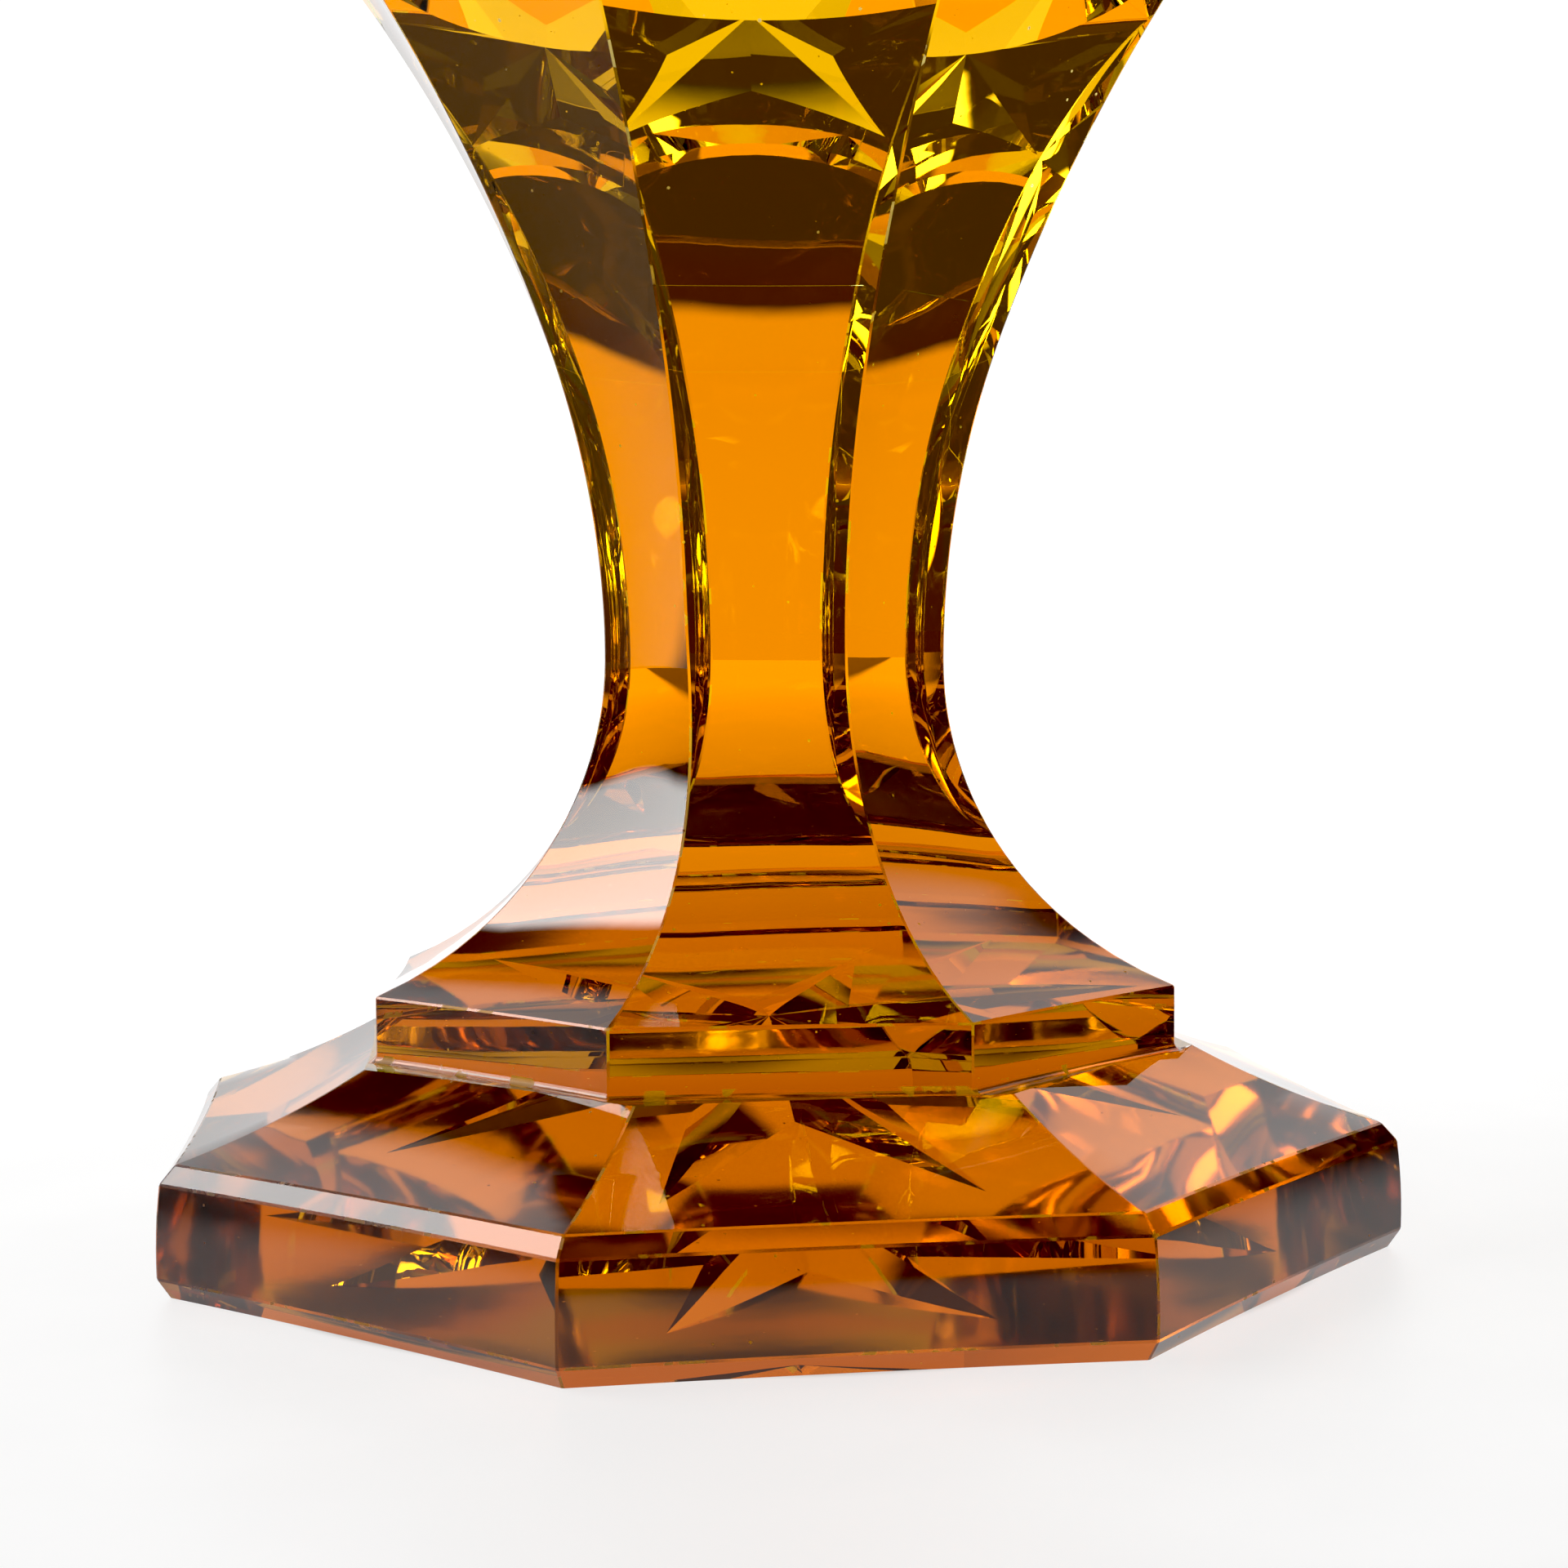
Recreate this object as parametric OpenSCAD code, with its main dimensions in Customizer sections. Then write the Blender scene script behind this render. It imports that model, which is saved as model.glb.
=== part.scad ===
// Cut-glass candlestick: an eight-sided foot, a waisted column and a flared cup for the candle.
// +Z is up. The origin is the middle of the foot's underside, and one flat of the foot faces -Y.
// Every flat surface was ground on a wheel, so the body is built from eight ground faces.

/* [Foot] */
// Width of the foot across its flats
foot_width = 92.4; // [88:0.2:96]
// Height of the foot's upright edge, with its lower chamfer
edge_height = 8.2; // [7:0.1:9]
// Height of the bevel above the upright edge
bevel_height = 1.3; // [0.8:0.1:1.6]
// Width of the chamfer around the underside
base_chamfer = 0.9; // [0.5:0.1:1.4]
// Height of the foot where the step above it begins
foot_height = 15; // [13:0.5:17]

/* [Star cut under the foot] */
// Reach of the star's points from the centre
star_radius = 30; // [24:0.5:34]
// Depth of the star at its centre
star_depth = 3; // [2:0.1:4]

/* [Column] */
// Width of the step across its flats
step_width = 60.6; // [58:0.2:62]
// Width of the waist across its flats
waist_width = 26.6; // [25:0.2:29]
// Height of the waist above the table
waist_height = 45; // [43:0.5:47]
// Radius of the sweep from the waist down to the step, which it meets 5 mm above the foot
lower_sweep = 27; // [26.5:0.1:27.5]
// Turn of the column and cup against the foot, in degrees
column_turn = -5; // [-6:0.1:6]

/* [Cup] */
// Overall height of the candlestick
total_height = 118; // [117.5:0.5:119]
// Height of the level floor inside the cup
floor_height = 108; // [107.5:0.5:108.5]
// Width of the level floor
floor_width = 58; // [56:0.5:60]
// Thickness of the cup's wall in the middle of a face
wall = 6; // [5.5:0.1:6.5]

/* [Star cuts around the cup] */
// Height of the stars' lower points
cut_bottom = 97; // [96:0.1:98]
// Height of the stars' centres
cut_middle = 108.8; // [108:0.1:109.5]
// Height of the stars' upper points
cut_top = 116; // [115:0.5:116.5]
// Depth of each star at its centre
cut_depth = 4.2; // [3.8:0.1:4.3]
// Half the width of a ray for each millimetre of its depth
cut_spread = 2.4; // [2.2:0.1:2.5]

/* [Hidden] */
$fn = 96;
SIDES = 8;
SIDE_ANGLE = 360 / SIDES;

// Glass shows a lighter amber where it is thin.
DEEP_AMBER = [0.80, 0.43, 0.03];
AMBER = [0.90, 0.52, 0.03];
LIGHT_AMBER = [0.97, 0.76, 0.14];

reach = 90;             // larger than the object in every direction
blank = 110;            // width of the block that a piece is ground from
edge_draft = 0.3;       // the upright edge leans in by this much
bevel_run = 1.1;        // how far the bevel comes in
slope_radius = 60;      // hollow of the sloping top of the foot
step_fillet = 0.6;      // blend between the step and the foot
foot_land = 0.7;        // level strip of the foot outside the step
star_spread = 2.07;     // half the width of a ray under the foot, for its depth

foot_half = foot_width / 2;
step_half = step_width / 2;
step_foot_half = step_half + step_fillet;
land_half = step_foot_half + foot_land;
bevel_top = edge_height + bevel_height;
bevel_half = foot_half - edge_draft - bevel_run;

waist_half = waist_width / 2;
middle_sweep = 74;      // radius of the sweep just above the waist
upper_sweep = 130;      // radius of the sweep out to the rim
sweep_change = 70;      // height where the middle sweep passes into the upper one
joint_height = 72;      // where the cup is bonded to the column
floor_cove = 2;         // height of the taper between the cup's floor and its wall
cut_stop = 0.3;         // how far a ray ends before the edge of its face

// The upper sweep is tangent to the middle one at sweep_change, less a hair of wheel
// clearance, so that the two cross cleanly just above it.
wheel_clearance = 0.01;
middle_x = waist_half + middle_sweep;
change_angle = asin((sweep_change - waist_height) / middle_sweep);
change_x = middle_x - middle_sweep * cos(change_angle);
upper_x = change_x + upper_sweep * cos(change_angle) + wheel_clearance;
upper_z = sweep_change - upper_sweep * sin(change_angle);

// Distance from the axis to a ground face, above sweep_change
function face_distance(z) = upper_x - sqrt(pow(upper_sweep, 2) - pow(z - upper_z, 2));

// Half the width of a ground face that lies at this distance from the axis
function half_side(distance) = distance * tan(SIDE_ANGLE / 2);

// Grinds the eight faces of a blank that reaches from one height to another. The child is
// what the wheel takes away from one face, drawn as distance from the axis against height.
// Every other face is ground a hair higher, so that no four faces meet in one point.
module ground_faces(low, high) {
    hair = 0.03;
    difference() {
        translate([-blank / 2, -blank / 2, low]) cube([blank, blank, high - low]);
        for (face = [0 : SIDES - 1])
            rotate(face * SIDE_ANGLE)
                rotate([90, 0, 90])
                    linear_extrude(2 * reach, center = true)
                        translate([0, hair * (face % 2)]) children([0 : $children - 1]);
    }
}

// All that lies beyond a distance from the axis, between two heights and a little past them
module beyond(distance, low, high) {
    translate([distance, low - 1]) square([reach, high - low + 2]);
}

// The bevel is drawn on past the top of the foot, and the hollow slope is cut out of it.
module foot_grinding() {
    bevel_slant = bevel_run / bevel_height;
    slope_run = bevel_half - land_half;
    slope_rise = foot_height - bevel_top;
    chord = norm([slope_run, slope_rise]);
    offset_from_chord = sqrt(pow(slope_radius, 2) - pow(chord / 2, 2));
    polygon([
        [foot_half - 2 * base_chamfer, -1.6 * base_chamfer],
        [foot_half, 1.6 * base_chamfer],
        [foot_half - edge_draft, edge_height],
        [bevel_half - bevel_slant * 2 * slope_rise, foot_height + slope_rise],
        [reach, foot_height + slope_rise],
        [reach, -1.6 * base_chamfer]
    ]);
    translate([(bevel_half + land_half) / 2, (bevel_top + foot_height) / 2])
        translate([slope_rise, slope_run] * offset_from_chord / chord)
            circle(slope_radius);
}

// One ray of a star cut down into the XY plane: a wedge whose ridge starts below the
// star's centre and comes out of the glass at the ray's tip
module star_ray(length, depth, spread) {
    translate([0, 0, -depth])
        rotate([0, -atan(depth / length), 0])
            rotate([90, 0, 90])
                linear_extrude(length + 2 * depth)
                    polygon([
                        [0, 0],
                        [2 * spread * depth, 2 * depth],
                        [-2 * spread * depth, 2 * depth]
                    ]);
}

module foot_plate() {
    color(DEEP_AMBER)
        difference() {
            ground_faces(0, foot_height) foot_grinding();
            for (ray = [0 : SIDES - 1])
                rotate([180, 0, (ray + 0.5) * SIDE_ANGLE])
                    star_ray(star_radius, star_depth, star_spread);
        }
}

// The three sweeps of the waist, one above the other. The lowest one runs out through the
// step's upright side, which sets the step's height.
module sweep_grinding() {
    intersection() {
        translate([waist_half + lower_sweep, waist_height]) circle(lower_sweep);
        beyond(0, foot_height + 2 * step_fillet + 1, waist_height - 1);
    }
    intersection() {
        translate([middle_x, waist_height]) circle(middle_sweep);
        beyond(0, waist_height + 1, sweep_change + 3);
    }
    intersection() {
        translate([upper_x, upper_z]) circle(upper_sweep);
        beyond(0, sweep_change + 1, total_height);
    }
}

module step_grinding() {
    difference() {
        beyond(step_half, foot_height, joint_height);
        difference() {
            translate([0, foot_height - 2]) square([step_foot_half, 2 + step_fillet]);
            translate([step_foot_half, foot_height + step_fillet]) circle(step_fillet);
        }
    }
}

module column() {
    color(AMBER)
        rotate(column_turn)
            ground_faces(foot_height, joint_height) {
                sweep_grinding();
                step_grinding();
            }
}

// The round hollow follows the outside of the cup, and a short taper leads to its floor.
module hollow() {
    inside_sweep = upper_sweep + wall;
    cove_height = floor_height + floor_cove;
    cove_radius = upper_x - sqrt(pow(inside_sweep, 2) - pow(cove_height - upper_z, 2));
    rotate_extrude()
        difference() {
            union() {
                translate([0, cove_height])
                    square([blank / 2, total_height + 1 - cove_height]);
                polygon([
                    [0, floor_height],
                    [floor_width / 2, floor_height],
                    [cove_radius, cove_height],
                    [0, cove_height]
                ]);
            }
            translate([upper_x, upper_z]) circle(inside_sweep);
        }
}

// The star on one face: four rays, from its centre out to the corners of the cut band
module face_star() {
    low = face_distance(cut_bottom);
    high = face_distance(cut_top);
    lean = atan((high - low) / (cut_top - cut_bottom));
    rise = norm([high - low, cut_top - cut_bottom]);
    share = (cut_middle - cut_bottom) / (cut_top - cut_bottom);
    corners = [
        [half_side(low), -rise * share],
        [half_side(high), rise * (1 - share)]
    ];
    translate([0, -low, cut_bottom] + [0, low - high, cut_top - cut_bottom] * share)
        rotate([90 + lean, 0, 0])
            for (corner = corners, side = [-1, 1])
                rotate(atan2(corner.y, side * corner.x))
                    star_ray(norm(corner) - cut_stop, cut_depth, cut_spread);
}

module candle_cup() {
    color(LIGHT_AMBER)
        rotate(column_turn)
            difference() {
                ground_faces(joint_height, total_height) sweep_grinding();
                hollow();
                for (face = [0 : SIDES - 1])
                    rotate(face * SIDE_ANGLE) face_star();
            }
}

foot_plate();
column();
candle_cup();
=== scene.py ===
import math

import bmesh
import bpy
from mathutils import Matrix, Vector


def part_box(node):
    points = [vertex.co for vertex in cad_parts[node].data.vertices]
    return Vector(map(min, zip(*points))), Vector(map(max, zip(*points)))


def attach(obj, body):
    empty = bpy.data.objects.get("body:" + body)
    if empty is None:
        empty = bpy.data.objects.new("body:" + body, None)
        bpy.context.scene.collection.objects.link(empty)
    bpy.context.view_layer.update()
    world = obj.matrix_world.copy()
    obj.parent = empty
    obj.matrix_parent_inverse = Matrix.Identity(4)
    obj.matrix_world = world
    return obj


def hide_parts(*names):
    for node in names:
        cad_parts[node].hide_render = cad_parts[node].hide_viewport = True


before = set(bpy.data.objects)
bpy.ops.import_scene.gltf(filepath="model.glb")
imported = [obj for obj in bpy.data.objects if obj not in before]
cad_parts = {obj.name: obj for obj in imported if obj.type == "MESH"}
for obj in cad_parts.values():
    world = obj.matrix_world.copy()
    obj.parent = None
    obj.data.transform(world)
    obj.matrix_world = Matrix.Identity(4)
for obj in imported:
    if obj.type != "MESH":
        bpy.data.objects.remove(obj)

# The candlestick's axis is Z through the origin and one flat of the foot faces -Y.
# Lengths are in metres; MM turns a size in millimetres into metres.
MM = 0.001
SIDES = 8
SIDE_ANGLE = math.tau / SIDES

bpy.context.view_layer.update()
FOOT_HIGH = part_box("foot_plate")[1]
COLUMN_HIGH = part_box("column")[1]
CUP_LOW, CUP_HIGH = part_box("candle_cup")

COLUMN_TURN = math.radians(-5.0)
BOND_GAP = 0.01 * MM          # air left between two bonded faces, so that they don't coincide
ARRIS = 0.12 * MM             # half width of the polished line along each vertical edge
EDGE_LINE = 0.26 * MM         # a face narrower than this is such a line
EASE = 0.12 * MM              # width of the polished line along each level edge
ACROSS = 8                    # steps across one ground face
FACE_HOLLOW = 0.35 * MM       # how far a ground face sags in its middle
SMOOTH_ANGLE = math.radians(9)
LEVEL_STEP = 1.1 * MM         # height of one step of a curved face
SAME_HEIGHT = 0.05 * MM
OUTWARD = 0.1 * MM            # least distance from the axis, along its normal, of an outer face
LEVEL = 0.999                 # a face is level if its normal is this much up or down

# The foot's outline: distance of a face from the axis, and height
FOOT_HALF = FOOT_HIGH.x
FOOT_TOP = FOOT_HIGH.z
BASE_CHAMFER = 0.9 * MM
EDGE_HEIGHT = 8.2 * MM
EDGE_DRAFT = 0.3 * MM
EDGE_BULGE = 0.125 * MM       # how far the upright edge is rounded out in its middle
EDGE_STEPS = 6
BEVEL_RUN = 1.1 * MM
BEVEL_HEIGHT = 1.3 * MM
SLOPE_RADIUS = 60 * MM
SLOPE_STEPS = 14
STAR_RADIUS = 30 * MM
STAR_DEPTH = 3 * MM
STAR_SPREAD = 2.07            # half width of a ray for its depth

# The column's outline
STEP_HALF = 30.3 * MM
STEP_FILLET = 0.6 * MM
FILLET_STEPS = 6
STEP_FOOT_HALF = STEP_HALF + STEP_FILLET
FOOT_LAND = 0.7 * MM          # level strip of the foot outside the step
WAIST_HALF = 13.3 * MM
WAIST_HEIGHT = 45 * MM
LOWER_SWEEP = 27 * MM
MIDDLE_SWEEP = 74 * MM
UPPER_SWEEP = 130 * MM
SWEEP_CHANGE = 70 * MM
COLUMN_ASIDE = 0.5 * MM       # how far the column stands to one side of the foot's centre
# Each face was ground by hand: how much deeper than the others it is above GRIND_FULL
FACE_DEPTH = (0.25, 0.34, -0.31, 0.1, -0.1, 0.15, 0.41, -0.67)
GRIND_START = 25 * MM
GRIND_FULL = 50 * MM

# The cup
FLOOR_HEIGHT = 108 * MM
FLOOR_HALF = 29 * MM          # radius of the level floor
FLOOR_COVE = 2 * MM           # height of the taper between the floor and the wall
WALL = 6 * MM
CUT_BOTTOM = 97 * MM          # heights of a star's lower points, centre and upper points
CUT_MIDDLE = 108.8 * MM
CUT_TOP = 116 * MM
CUT_DEPTH = 4.2 * MM
CUT_SPREAD = 2.4              # half width of a ray for its depth
CUT_STOP = 0.3 * MM           # how far a ray ends before the edge of its face

CHANGE_ANGLE = math.asin((SWEEP_CHANGE - WAIST_HEIGHT) / MIDDLE_SWEEP)
CHANGE_DISTANCE = WAIST_HALF + MIDDLE_SWEEP * (1 - math.cos(CHANGE_ANGLE))
UPPER_CENTRE = Vector((CHANGE_DISTANCE, SWEEP_CHANGE)) + UPPER_SWEEP * Vector(
    (math.cos(CHANGE_ANGLE), -math.sin(CHANGE_ANGLE))
)

# What a metre of glass takes out of red, green and blue light is density x (1 - colour)
FOOT_DENSITY, COLUMN_DENSITY, CUP_DENSITY = 100, 40, 15
GLASS_COLOUR = (0.91, 0.86, 0.0, 1)
CLEAR_COLOUR = (1.0, 1.0, 1.0, 1.0)
GLASS_INDEX = 1.52
# The amber stain on the outer faces: what two crossings of it let through
STAIN_COLOUR = (1.0, 0.32, 0.001, 1)
WAVE_SCALE, WAVE_HEIGHT = 70, 0.03 * MM       # waves left by polishing: 14 mm apart
RIPPLE_SCALE, RIPPLE_SHARE = 420, 0.06
HAZE_SCALE, HAZE_ROUGHNESS = 45, 0.03
HAZE_START, HAZE_FULL = 0.45, 0.75            # where in the noise there is haze
COMPARE_WITHIN = 0.1                          # how close a mark has to be to the one looked for
EDGE_ROUGHNESS = 0.2
UNDERSIDE_ROUGHNESS = 0.06
SPOT_ROUGHNESS = 0.6
DUST_CELLS, DUST_EDGE = 450, 0.07
DUST_RARE, DUST_CHOSEN = 0.55, 0.57           # share of the cells that hold no speck
DUST_COLOUR = (0.95, 0.85, 0.65, 1)
CHIP_SCALE = 350
CHIP_START, CHIP_FULL = 0.57, 0.61            # where in the noise an edge is chipped
CHIP_COLOUR = (1.0, 0.97, 0.9, 1)

# The light around: a sheet behind, a window high on the left, and a dim warm room.
# Heights and sides of the sheet are parts of a unit vector that points at it.
BLACK_LEVEL = 0.015           # the view shows anything darker as black
ROOM_COLOUR = (0.075, 0.058, 0.045)
BACK_LIGHT = 1.08
BACK_SIDE, BACK_FULL, BACK_WIDEN = 0.70, 0.84, 0.75     # the sheet is wider higher up
BACK_TOP, BACK_END = 0.60, 0.65
WINDOW = (-0.746, 0.238, 0.621)
WINDOW_LIGHT = 8.0
WINDOW_EDGE, WINDOW_FULL = 0.925, 0.95

# The table top: its glow is painted light, a lit strip that widens to the back, and a painted
# shadow darkens it under the foot
TABLE_HALF_WIDTH, TABLE_FRONT, TABLE_BACK = 3.0, -1.5, 3.0
TABLE_DROP = 0.02 * MM        # how far it is below the foot
TABLE_GREY, TABLE_ROUGHNESS = 0.1, 0.5
GLOW_FRONT, GLOW_NEAR = 0.02, 0.80
GLOW_START, GLOW_END = -0.115, -0.08
GLOW_HALF, GLOW_EDGE, GLOW_TURN, GLOW_WIDEN = 0.07, 0.12, 0.139, 0.37
GLOW_RISE, GLOW_FAR, GLOW_BACK = 0.0, 0.4, 0.4
# Painted shadow under the foot: the glow is SHADE_LEVEL within SHADE_START of the axis and full
# beyond SHADE_END
SHADE_START, SHADE_END = 0.043, 0.046
SHADE_LEVEL = 0.02
GRIME_SCALE, GRIME_DETAIL = 30, 6.0
GRIME_START, GRIME_FULL, GRIME_LEVEL = 0.35, 0.7, 0.97

# The camera, low in front and a little to the left of the foot's front flat
CAMERA_YAW, CAMERA_PITCH, CAMERA_ROLL = (math.radians(a) for a in (7.9, 3.4, -0.45))
CAMERA_ASIDE, CAMERA_DISTANCE, CAMERA_HEIGHT = 1.665 * MM, 198.2 * MM, 45.2 * MM
SENSOR_WIDTH = 36.0
FOCAL_SHARE, SHIFT_SHARE = 3023 / 1920, 24 / 1920       # of the frame's width
CLIP_NEAR, CLIP_FAR = 0.01, 20
BOUNCES, GLOSSY_BOUNCES = 24, 12

# ---------------------------------------------------------------- outlines


def sweep_distance(z, wall=0.0):
    """Distance of a ground face from the axis at a height above the step."""
    if z <= WAIST_HEIGHT:
        return WAIST_HALF + LOWER_SWEEP - math.sqrt(LOWER_SWEEP**2 - (z - WAIST_HEIGHT) ** 2)
    if z <= SWEEP_CHANGE:
        return WAIST_HALF + MIDDLE_SWEEP - math.sqrt(MIDDLE_SWEEP**2 - (z - WAIST_HEIGHT) ** 2)
    radius = UPPER_SWEEP + wall
    return UPPER_CENTRE.x - math.sqrt(radius**2 - (z - UPPER_CENTRE.y) ** 2)


def column_faces(distance, height):
    """Each face's distance from the axis at a height of the column or the cup."""
    share = min(1.0, max(0.0, (height - GRIND_START) / (GRIND_FULL - GRIND_START)))
    eased_share = share * share * (3 - 2 * share)
    return [
        distance
        - FACE_DEPTH[face] * MM * eased_share
        + COLUMN_ASIDE * face_normal(face, COLUMN_TURN).x
        for face in range(SIDES)
    ]


def steps(start, end, step):
    """Evenly spaced values from start to end, both included."""
    count = max(1, math.ceil(abs(end - start) / step))
    return [start + (end - start) * i / count for i in range(count + 1)]


def arc_between(start, end, radius, count):
    """Points on a hollow arc from start to end, which sags towards the axis and down."""
    chord = end - start
    middle = (start + end) / 2
    outward = Vector((-chord.y, chord.x)).normalized()
    if outward.y < 0:
        outward = -outward
    centre = middle + outward * math.sqrt(radius**2 - (chord.length / 2) ** 2)
    first = math.atan2(start.y - centre.y, start.x - centre.x)
    last = math.atan2(end.y - centre.y, end.x - centre.x)
    return [
        centre + radius * Vector((math.cos(a), math.sin(a)))
        for a in (first + (last - first) * i / count for i in range(count + 1))
    ]


def eased(outline, corners):
    """The outline with each named corner cut back by EASE along both of its edges."""
    result = []
    for i, point in enumerate(outline):
        if i not in corners:
            result.append(point)
            continue
        for other in (outline[i - 1], outline[i + 1]):
            result.append(point + (other - point).normalized() * EASE)
    return result


def foot_outline():
    """(distance, height) pairs from the foot's underside up to the step."""
    bevel_half = FOOT_HALF - EDGE_DRAFT - BEVEL_RUN
    chamfer_top = 1.6 * BASE_CHAMFER
    edge = [
        Vector((FOOT_HALF - EDGE_DRAFT * t + EDGE_BULGE * 4 * t * (1 - t), z))
        for t, z in (
            (i / EDGE_STEPS, chamfer_top + (EDGE_HEIGHT - chamfer_top) * i / EDGE_STEPS)
            for i in range(EDGE_STEPS + 1)
        )
    ]
    edge[0].x = FOOT_HALF
    slope = arc_between(
        Vector((bevel_half, EDGE_HEIGHT + BEVEL_HEIGHT)),
        Vector((STEP_FOOT_HALF + FOOT_LAND, FOOT_TOP)),
        SLOPE_RADIUS,
        SLOPE_STEPS,
    )
    outline = [Vector((FOOT_HALF - BASE_CHAMFER, 0.0)), *edge, *slope]
    corners = {1, len(edge), len(edge) + 1}
    return eased(outline, corners)


def column_outline():
    fillet = [
        Vector((STEP_FOOT_HALF, FOOT_TOP + STEP_FILLET))
        + STEP_FILLET * Vector((math.cos(a), math.sin(a)))
        for a in (math.radians(270 - 90 * i / FILLET_STEPS) for i in range(FILLET_STEPS + 1))
    ]
    step_top = WAIST_HEIGHT - math.sqrt(
        LOWER_SWEEP**2 - (LOWER_SWEEP - (STEP_HALF - WAIST_HALF)) ** 2
    )
    side = [Vector((STEP_HALF, z)) for z in steps(FOOT_TOP + STEP_FILLET, step_top, LEVEL_STEP)]
    sweep = [
        Vector((sweep_distance(z), z)) for z in steps(step_top, COLUMN_HIGH.z, LEVEL_STEP)
    ]
    outline = [*fillet, *side[1:], *sweep[1:]]
    outline[0].y += BOND_GAP
    outline[-1].y -= BOND_GAP
    return eased(outline, {len(fillet) + len(side) - 2})


def cup_outline():
    """The cup's outer faces, from the bond up to the rim."""
    outside = [Vector((sweep_distance(z), z)) for z in steps(CUP_LOW.z, CUP_HIGH.z, LEVEL_STEP)]
    return [*outside[:-1], outside[-1] - Vector((0, EASE)), outside[-1] - Vector((EASE, 0))]


def hollow_outline():
    """The cup's round hollow: (radius, height) pairs from the rim down to the level floor."""
    wall = [
        Vector((sweep_distance(z, WALL) - WALL, z))
        for z in steps(CUP_HIGH.z, FLOOR_HEIGHT + FLOOR_COVE, LEVEL_STEP)
    ]
    wall[0].x += EASE
    edge = wall[-1]
    floor_edge = Vector((FLOOR_HALF, FLOOR_HEIGHT))
    return [*wall, edge.lerp(floor_edge, 0.5), floor_edge]


# ---------------------------------------------------------------- glass bodies


def face_normal(face, turn):
    angle = -math.pi / 2 + face * SIDE_ANGLE + turn
    return Vector((math.cos(angle), math.sin(angle), 0.0))


def ring_points(distances, height, turn, hollow):
    """One level of an eight-sided body. distances holds each face's distance from the axis."""
    points = []
    cos45, sin45 = math.cos(SIDE_ANGLE), math.sin(SIDE_ANGLE)
    for face in range(SIDES):
        near = distances[face]
        start = -(distances[face - 1] - near * cos45) / sin45 + ARRIS
        end = (distances[(face + 1) % SIDES] - near * cos45) / sin45 - ARRIS
        normal = face_normal(face, turn)
        along = Vector((-normal.y, normal.x, 0.0))
        for i in range(ACROSS + 1):
            u = i / ACROSS
            inward = hollow * (1 - (2 * u - 1) ** 2)
            point = normal * (near - inward) + along * (start + (end - start) * u)
            points.append(point + Vector((0, 0, height)))
    return points


def loft(bm, rings):
    """Joins rings of points with four-sided faces and returns the rings' vertices."""
    made = [[bm.verts.new(p) for p in ring] for ring in rings]
    for lower, upper in zip(made, made[1:]):
        count = len(lower)
        for i in range(count):
            j = (i + 1) % count
            bm.faces.new((lower[i], lower[j], upper[j], upper[i]))
    return made


def mesh_object(name, bm):
    bmesh.ops.recalc_face_normals(bm, faces=bm.faces)
    mesh = bpy.data.meshes.new(name)
    bm.to_mesh(mesh)
    bm.free()
    piece = bpy.data.objects.new(name, mesh)
    bpy.context.scene.collection.objects.link(piece)
    return piece


def wedge(bm, length, spread, height):
    """A V-shaped prism whose lower edge runs along +X from the origin."""
    section = [(0, 0), (spread * height, height), (-spread * height, height)]
    ends = [[bm.verts.new((x, y, z)) for y, z in section] for x in (0, length)]
    bm.faces.new(ends[0])
    bm.faces.new(reversed(ends[1]))
    for i in range(3):
        j = (i + 1) % 3
        bm.faces.new((ends[0][j], ends[0][i], ends[1][i], ends[1][j]))
    return [v for end in ends for v in end]


def cut_away(piece, cutter):
    """Takes the cutter's volume out of the piece, for good, and removes the cutter."""
    modifier = piece.modifiers.new("cut", "BOOLEAN")
    modifier.operation = "DIFFERENCE"
    modifier.solver = "EXACT"
    modifier.use_self = True
    modifier.object = cutter
    shaped = piece.evaluated_get(bpy.context.evaluated_depsgraph_get())
    mesh = bpy.data.meshes.new_from_object(shaped)
    piece.modifiers.clear()
    piece.data = mesh
    bpy.data.objects.remove(cutter)


def add_ray(bm, place, angle, length, depth, spread):
    """One ray of a star cut down into the XY plane of place, deepest at the star's centre."""
    verts = wedge(bm, length + 2 * depth, spread, 2 * depth)
    ray = (
        Matrix.Rotation(angle, 4, "Z")
        @ Matrix.Translation((0, 0, -depth))
        @ Matrix.Rotation(-math.atan(depth / length), 4, "Y")
    )
    bmesh.ops.transform(bm, matrix=place @ ray, verts=verts)


def foot_star_cutter():
    bm = bmesh.new()
    underside = Matrix.Rotation(math.pi, 4, "X")
    for ray in range(SIDES):
        angle = (ray + 0.5) * SIDE_ANGLE
        add_ray(bm, underside, angle, STAR_RADIUS, STAR_DEPTH, STAR_SPREAD)
    return mesh_object("star_cutter", bm)


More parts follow.
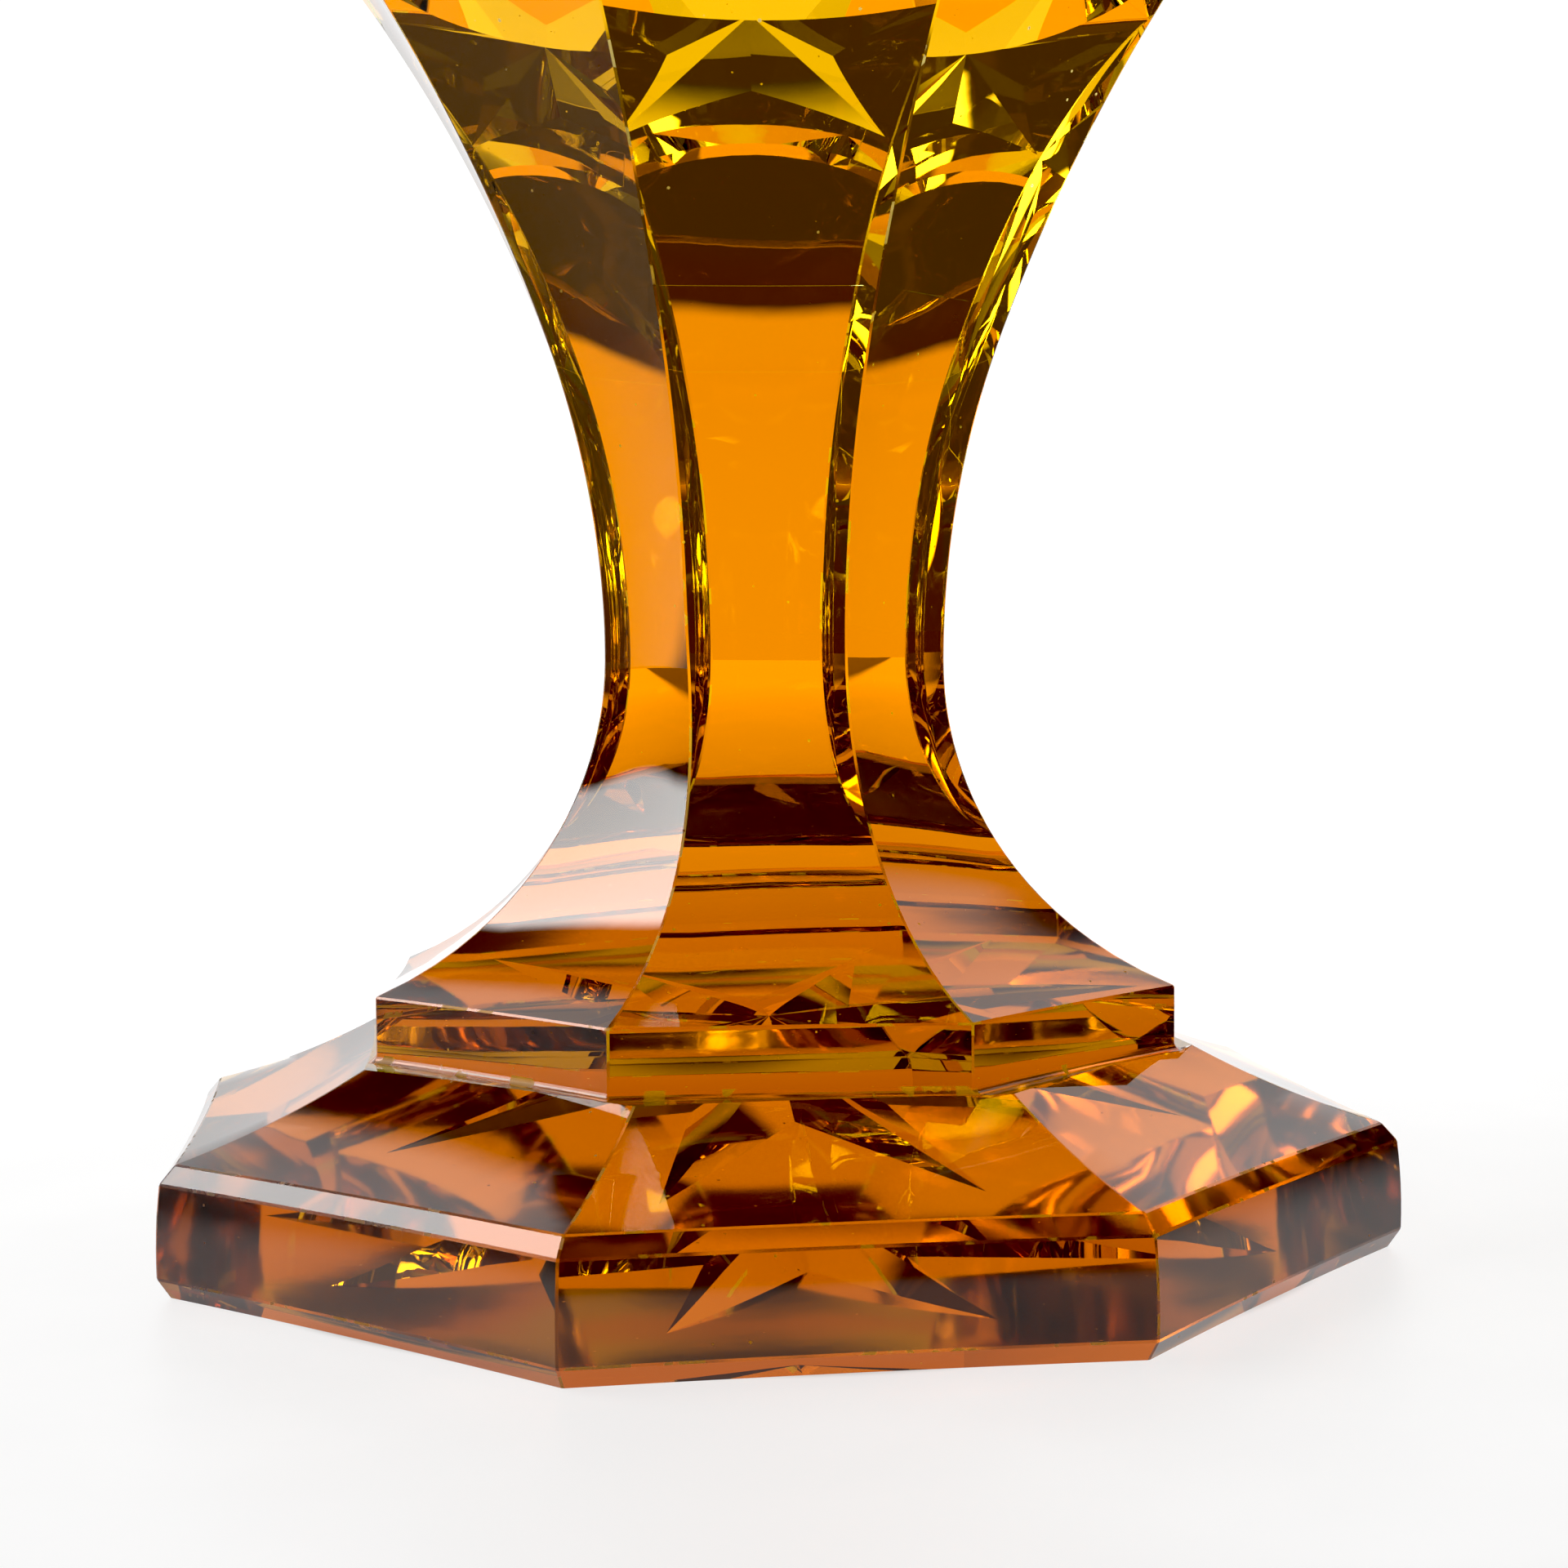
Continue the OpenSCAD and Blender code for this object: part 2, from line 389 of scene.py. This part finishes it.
def cup_star_cutter():
    """Four rays on each face, from the star's centre out to the corners of the cut band."""
    bm = bmesh.new()
    low, high = sweep_distance(CUT_BOTTOM), sweep_distance(CUT_TOP)
    lean = math.atan((high - low) / (CUT_TOP - CUT_BOTTOM))
    rise = math.hypot(high - low, CUT_TOP - CUT_BOTTOM)
    half = math.tan(SIDE_ANGLE / 2)
    share = (CUT_MIDDLE - CUT_BOTTOM) / (CUT_TOP - CUT_BOTTOM)
    middle = Vector((0, -(low + (high - low) * share), CUT_MIDDLE))
    for face in range(SIDES):
        depths = column_faces(-middle.y, middle.z)
        shift = Vector((0, -middle.y - depths[face], 0))
        place = (
            Matrix.Rotation(face * SIDE_ANGLE + COLUMN_TURN, 4, "Z")
            @ Matrix.Translation(middle + shift)
            @ Matrix.Rotation(math.pi / 2 + lean, 4, "X")
        )
        for side in (-1, 1):
            for across, up in ((low * half, -rise * share), (high * half, rise * (1 - share))):
                angle = math.atan2(up, side * across)
                length = math.hypot(across, up) - CUT_STOP
                add_ray(bm, place, angle, length, CUT_DEPTH, CUT_SPREAD)
    return mesh_object("cup_cutter", bm)


def bond_faces(piece, *heights):
    """Marks the level faces at the given heights, where two pieces are bonded, with 1."""
    attribute = piece.data.attributes.new("bond", "FLOAT", "FACE")
    for polygon in piece.data.polygons:
        at_bond = any(abs(polygon.center.z - height) < SAME_HEIGHT for height in heights)
        joined = at_bond and abs(polygon.normal.z) > LEVEL
        inside = polygon.center.xy.length < STEP_FOOT_HALF / 2
        attribute.data[polygon.index].value = float(joined and inside)


def stain_faces(piece, is_stained):
    """Marks the faces that carry the amber stain with 1, before anything is cut through them."""
    attribute = piece.data.attributes.new("stain", "FLOAT", "FACE")
    for polygon in piece.data.polygons:
        attribute.data[polygon.index].value = float(is_stained(polygon))


def faces_outward(polygon):
    return polygon.normal.dot(Vector((*polygon.center.xy, 0))) > OUTWARD


def wear_faces(piece):
    """Marks the narrow polished lines along the edges with 1 and the worn underside with 2."""
    attribute = piece.data.attributes.new("wear", "FLOAT", "FACE")
    corners = piece.data.vertices
    for polygon in piece.data.polygons:
        longest = max((corners[a].co - corners[b].co).length for a, b in polygon.edge_keys)
        underside = polygon.normal.z < -LEVEL and polygon.center.z < 2 * SAME_HEIGHT
        mark = 2.0 if underside else float(polygon.area < EDGE_LINE * longest)
        attribute.data[polygon.index].value = mark


def finish_shading(piece):
    piece.data.shade_smooth()
    piece.data.set_sharp_from_angle(angle=SMOOTH_ANGLE)


def make_foot():
    bm = bmesh.new()
    rings = [ring_points([d] * SIDES, z, 0.0, FACE_HOLLOW) for d, z in foot_outline()]
    base = column_faces(STEP_FOOT_HALF, FOOT_TOP)
    rings.append(ring_points(base, FOOT_TOP, COLUMN_TURN, FACE_HOLLOW))
    made = loft(bm, rings)
    bm.faces.new(list(reversed(made[0])))
    bm.faces.new(made[-1])
    piece = mesh_object("foot_glass", bm)
    stain_faces(piece, lambda face: abs(face.normal.z) < LEVEL)
    cut_away(piece, foot_star_cutter())
    bond_faces(piece, FOOT_TOP)
    return piece


def make_column():
    bm = bmesh.new()
    made = loft(
        bm,
        [
            ring_points(column_faces(d, z), z, COLUMN_TURN, FACE_HOLLOW)
            for d, z in column_outline()
        ],
    )
    bm.faces.new(list(reversed(made[0])))
    bm.faces.new(made[-1])
    piece = mesh_object("column_glass", bm)
    stain_faces(piece, lambda face: abs(face.normal.z) < LEVEL)
    bond_faces(piece, FOOT_TOP + BOND_GAP, COLUMN_HIGH.z - BOND_GAP)
    return piece


def make_cup():
    bm = bmesh.new()
    rings = [ring_points(column_faces(d, z), z, COLUMN_TURN, FACE_HOLLOW) for d, z in cup_outline()]
    directions = [Vector((p.x, p.y, 0)).normalized() for p in rings[-1]]
    middle = Vector((COLUMN_ASIDE, 0, 0))
    rings += [
        [d * radius + middle + Vector((0, 0, z)) for d in directions]
        for radius, z in hollow_outline()
    ]
    made = loft(bm, rings)
    bm.faces.new(list(reversed(made[0])))
    bm.faces.new(made[-1])
    piece = mesh_object("cup_glass", bm)
    stain_faces(piece, faces_outward)
    cut_away(piece, cup_star_cutter())
    bond_faces(piece, CUP_LOW.z)
    return piece


# ---------------------------------------------------------------- glass material


def noise_node(tree, where, scale, detail=2.0):
    node = tree.nodes.new("ShaderNodeTexNoise")
    node.inputs["Scale"].default_value = scale
    node.inputs["Detail"].default_value = detail
    tree.links.new(where, node.inputs["Vector"])
    return node.outputs["Fac"]


def mix_colour(tree, share, first, second):
    """A colour that goes from first to second as share goes from 0 to 1."""
    node = tree.nodes.new("ShaderNodeMix")
    node.data_type = "RGBA"
    for socket, value in ((node.inputs[6], first), (node.inputs[7], second)):
        if isinstance(value, tuple):
            socket.default_value = value
        else:
            tree.links.new(value, socket)
    tree.links.new(share, node.inputs["Factor"])
    return node.outputs[2]


def dust_specks(tree, where):
    """1 on small specks of dust scattered over the glass, 0 elsewhere."""
    cells = tree.nodes.new("ShaderNodeTexVoronoi")
    cells.inputs["Scale"].default_value = DUST_CELLS
    tree.links.new(where, cells.inputs["Vector"])
    split = tree.nodes.new("ShaderNodeSeparateColor")
    tree.links.new(cells.outputs["Color"], split.inputs["Color"])
    near = ramp_node(tree, cells.outputs["Distance"], DUST_EDGE / 2, DUST_EDGE, 1.0, 0.0)
    chosen = ramp_node(tree, split.outputs["Red"], DUST_RARE, DUST_CHOSEN, 0.0, 1.0)
    return math_node(tree, "MULTIPLY", near, chosen)


def edge_chips(tree, where, wear):
    """1 where a polished edge line is bruised or chipped, 0 elsewhere."""
    on_edge = math_node(tree, "COMPARE", wear, 1.0)
    patches = ramp_node(
        tree, noise_node(tree, where, CHIP_SCALE), CHIP_START, CHIP_FULL, 0.0, 1.0
    )
    return math_node(tree, "MULTIPLY", on_edge, patches)


def surface_height(tree, where):
    """The slow waves that hand polishing leaves, with a finer ripple on them."""
    waves = noise_node(tree, where, WAVE_SCALE, 1.0)
    ripple = math_node(tree, "MULTIPLY", noise_node(tree, where, RIPPLE_SCALE, 1.0), RIPPLE_SHARE)
    return math_node(tree, "ADD", waves, ripple)


def glass_material(name, density):
    material = bpy.data.materials.new(name)
    material.use_nodes = True
    tree = material.node_tree
    nodes, links = tree.nodes, tree.links
    shader = nodes["Principled BSDF"]
    output = nodes["Material Output"]
    where = nodes.new("ShaderNodeTexCoord").outputs["Object"]
    wear = face_value(tree, "wear")
    dust = dust_specks(tree, where)
    chips = edge_chips(tree, where, wear)

    stained = mix_colour(tree, face_value(tree, "stain"), CLEAR_COLOUR, STAIN_COLOUR)
    bruised = mix_colour(tree, chips, stained, CHIP_COLOUR)
    dusty = mix_colour(tree, dust, bruised, DUST_COLOUR)
    links.new(dusty, shader.inputs["Base Color"])

    haze = ramp_node(
        tree, noise_node(tree, where, HAZE_SCALE), HAZE_START, HAZE_FULL, 0.0, HAZE_ROUGHNESS
    )
    underside = ramp_node(tree, wear, 1.0, 2.0, 0.0, UNDERSIDE_ROUGHNESS)
    edge = math_node(tree, "MULTIPLY", math_node(tree, "COMPARE", wear, 1.0), EDGE_ROUGHNESS)
    spots = math_node(tree, "MULTIPLY", math_node(tree, "MAXIMUM", dust, chips), SPOT_ROUGHNESS)
    broad = math_node(tree, "MAXIMUM", haze, underside)
    local = math_node(tree, "MAXIMUM", edge, spots)
    links.new(math_node(tree, "MAXIMUM", broad, local), shader.inputs["Roughness"])

    bump = nodes.new("ShaderNodeBump")
    bump.inputs["Distance"].default_value = WAVE_HEIGHT
    links.new(surface_height(tree, where), bump.inputs["Height"])
    links.new(bump.outputs["Normal"], shader.inputs["Normal"])

    shader.inputs["Transmission Weight"].default_value = 1.0
    index = nodes.new("ShaderNodeMapRange")
    index.inputs["To Min"].default_value = GLASS_INDEX
    index.inputs["To Max"].default_value = 1.0
    links.new(face_value(tree, "bond"), index.inputs["Value"])
    links.new(index.outputs["Result"], shader.inputs["IOR"])
    shader.inputs["IOR"].default_value = GLASS_INDEX
    absorption = nodes.new("ShaderNodeVolumeAbsorption")
    absorption.inputs["Color"].default_value = GLASS_COLOUR
    absorption.inputs["Density"].default_value = density
    links.new(absorption.outputs["Volume"], output.inputs["Volume"])
    return material


def face_value(tree, name):
    """The value that the mesh stores on each face under this name."""
    node = tree.nodes.new("ShaderNodeAttribute")
    node.attribute_name = name
    return node.outputs["Fac"]


# ---------------------------------------------------------------- stage, light, camera


def make_floor():
    """A sheet under the candlestick that looks pale by painted light: its glow is brighter towards
    its back.
    """
    bm = bmesh.new()
    left_front = Vector((-TABLE_HALF_WIDTH, TABLE_FRONT, -TABLE_DROP))
    across = Vector((2 * TABLE_HALF_WIDTH, 0, 0))
    back = Vector((0, TABLE_BACK - TABLE_FRONT, 0))
    corners = (left_front, left_front + across, left_front + across + back, left_front + back)
    bm.faces.new([bm.verts.new(corner) for corner in corners])
    floor = mesh_object("floor", bm)
    material = bpy.data.materials.new("floor_painted_light")
    material.use_nodes = True
    tree = material.node_tree
    nodes, links = tree.nodes, tree.links
    shader = nodes["Principled BSDF"]
    shader.inputs["Base Color"].default_value = (TABLE_GREY, TABLE_GREY, TABLE_GREY, 1)
    shader.inputs["Roughness"].default_value = TABLE_ROUGHNESS
    shader.inputs["Emission Color"].default_value = (1, 1, 1, 1)
    where = nodes.new("ShaderNodeTexCoord").outputs["Object"]
    split = nodes.new("ShaderNodeSeparateXYZ")
    links.new(where, split.inputs["Vector"])
    along = split.outputs["Y"]
    # Painted light: the floor's glow is dark in front, bright near the foot and brighter again
    # behind
    near = ramp_node(tree, along, GLOW_START, GLOW_END, GLOW_FRONT, GLOW_NEAR)
    behind = ramp_node(tree, along, GLOW_RISE, GLOW_FAR, 0.0, GLOW_BACK)
    glow = math_node(tree, "ADD", near, behind)
    # Painted light: the glow lies only in a strip, whose middle turns with GLOW_TURN and which
    # widens towards the back
    middle = math_node(tree, "MULTIPLY", along, GLOW_TURN)
    from_middle = math_node(tree, "SUBTRACT", split.outputs["X"], middle)
    aside = math_node(tree, "ABSOLUTE", from_middle, 0.0)
    widening = math_node(tree, "MULTIPLY", along, GLOW_WIDEN)
    beyond = math_node(tree, "SUBTRACT", aside, widening)
    lit = ramp_node(tree, beyond, GLOW_HALF, GLOW_EDGE, 1.0, GLOW_FRONT)
    glow = math_node(tree, "MULTIPLY", glow, lit)
    # Painted shadow: the floor's glow is dimmed under the foot
    radius = nodes.new("ShaderNodeVectorMath")
    radius.operation = "LENGTH"
    links.new(where, radius.inputs[0])
    painted_shadow_factor = ramp_node(
        tree, radius.outputs["Value"], SHADE_START, SHADE_END, SHADE_LEVEL, 1.0
    )
    stains = noise_node(tree, where, GRIME_SCALE, GRIME_DETAIL)
    grime = ramp_node(tree, stains, GRIME_START, GRIME_FULL, GRIME_LEVEL, 1.0)
    glow = math_node(tree, "MULTIPLY", glow, grime)
    links.new(math_node(tree, "MULTIPLY", glow, painted_shadow_factor), shader.inputs["Emission Strength"])
    floor.data.materials.append(material)


def ramp_node(tree, value, start, end, low, high):
    """A smooth rise of a value from low at start to high at end."""
    node = tree.nodes.new("ShaderNodeMapRange")
    node.interpolation_type = "SMOOTHSTEP"
    node.inputs["From Min"].default_value = start
    node.inputs["From Max"].default_value = end
    node.inputs["To Min"].default_value = low
    node.inputs["To Max"].default_value = high
    tree.links.new(value, node.inputs["Value"])
    return node.outputs["Result"]


def math_node(tree, operation, first, second):
    node = tree.nodes.new("ShaderNodeMath")
    node.operation = operation
    node.inputs[2].default_value = COMPARE_WITHIN
    for socket, value in zip(node.inputs, (first, second)):
        if isinstance(value, float):
            socket.default_value = value
        else:
            tree.links.new(value, socket)
    return node.outputs["Value"]


def make_world():
    """A low white sheet behind, a large soft window high on the left, and a dim warm room."""
    world = bpy.data.worlds.new("studio")
    bpy.context.scene.world = world
    world.use_nodes = True
    tree = world.node_tree
    where = tree.nodes.new("ShaderNodeTexCoord").outputs["Generated"]
    split = tree.nodes.new("ShaderNodeSeparateXYZ")
    tree.links.new(where, split.inputs["Vector"])
    widening = math_node(tree, "MULTIPLY", split.outputs["Z"], BACK_WIDEN)
    inward = math_node(tree, "ADD", split.outputs["Y"], widening)
    behind = ramp_node(tree, inward, BACK_SIDE, BACK_FULL, 0.0, BACK_LIGHT)
    below = ramp_node(tree, split.outputs["Z"], BACK_TOP, BACK_END, 1.0, 0.0)
    facing = tree.nodes.new("ShaderNodeVectorMath")
    facing.operation = "DOT_PRODUCT"
    tree.links.new(where, facing.inputs[0])
    facing.inputs[1].default_value = WINDOW
    window = ramp_node(
        tree, facing.outputs["Value"], WINDOW_EDGE, WINDOW_FULL, 0.0, WINDOW_LIGHT
    )
    sheet = math_node(tree, "MULTIPLY", behind, below)
    lights = math_node(tree, "MAXIMUM", sheet, window)
    room = tree.nodes.new("ShaderNodeVectorMath")
    room.operation = "MAXIMUM"
    tree.links.new(lights, room.inputs[0])
    room.inputs[1].default_value = ROOM_COLOUR
    background = tree.nodes["Background"]
    tree.links.new(room.outputs["Vector"], background.inputs["Color"])


def make_camera():
    data = bpy.data.cameras.new("camera")
    data.sensor_width = SENSOR_WIDTH
    data.lens = SENSOR_WIDTH * FOCAL_SHARE
    data.shift_y = SHIFT_SHARE
    data.clip_start, data.clip_end = CLIP_NEAR, CLIP_FAR
    camera = bpy.data.objects.new("camera", data)
    bpy.context.scene.collection.objects.link(camera)
    around = Matrix.Rotation(-CAMERA_YAW, 4, "Z")
    stand = Matrix.Translation((CAMERA_ASIDE, -CAMERA_DISTANCE, CAMERA_HEIGHT))
    pitch = Matrix.Rotation(math.pi / 2 - CAMERA_PITCH, 4, "X")
    camera.matrix_world = around @ stand @ pitch @ Matrix.Rotation(CAMERA_ROLL, 4, "Z")
    bpy.context.scene.camera = camera


def set_view():
    scene = bpy.context.scene
    scene.view_settings.view_transform = "Standard"
    scene.view_settings.use_curve_mapping = True
    scene.view_settings.curve_mapping.black_level = (BLACK_LEVEL, BLACK_LEVEL, BLACK_LEVEL)
    scene.cycles.max_bounces = BOUNCES
    scene.cycles.transmission_bounces = BOUNCES
    scene.cycles.glossy_bounces = GLOSSY_BOUNCES
    scene.cycles.transparent_max_bounces = BOUNCES


# ---------------------------------------------------------------- build


for maker, node, slot, density in (
    (make_foot, "foot_plate", "foot_glass", FOOT_DENSITY),
    (make_column, "column", "column_glass", COLUMN_DENSITY),
    (make_cup, "candle_cup", "cup_glass", CUP_DENSITY),
):
    piece = maker()
    finish_shading(piece)
    wear_faces(piece)
    piece.data.materials.clear()
    piece.data.materials.append(glass_material("amber_" + slot, density))
    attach(piece, "root")
    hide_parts(node)

make_floor()
make_world()
make_camera()
set_view()
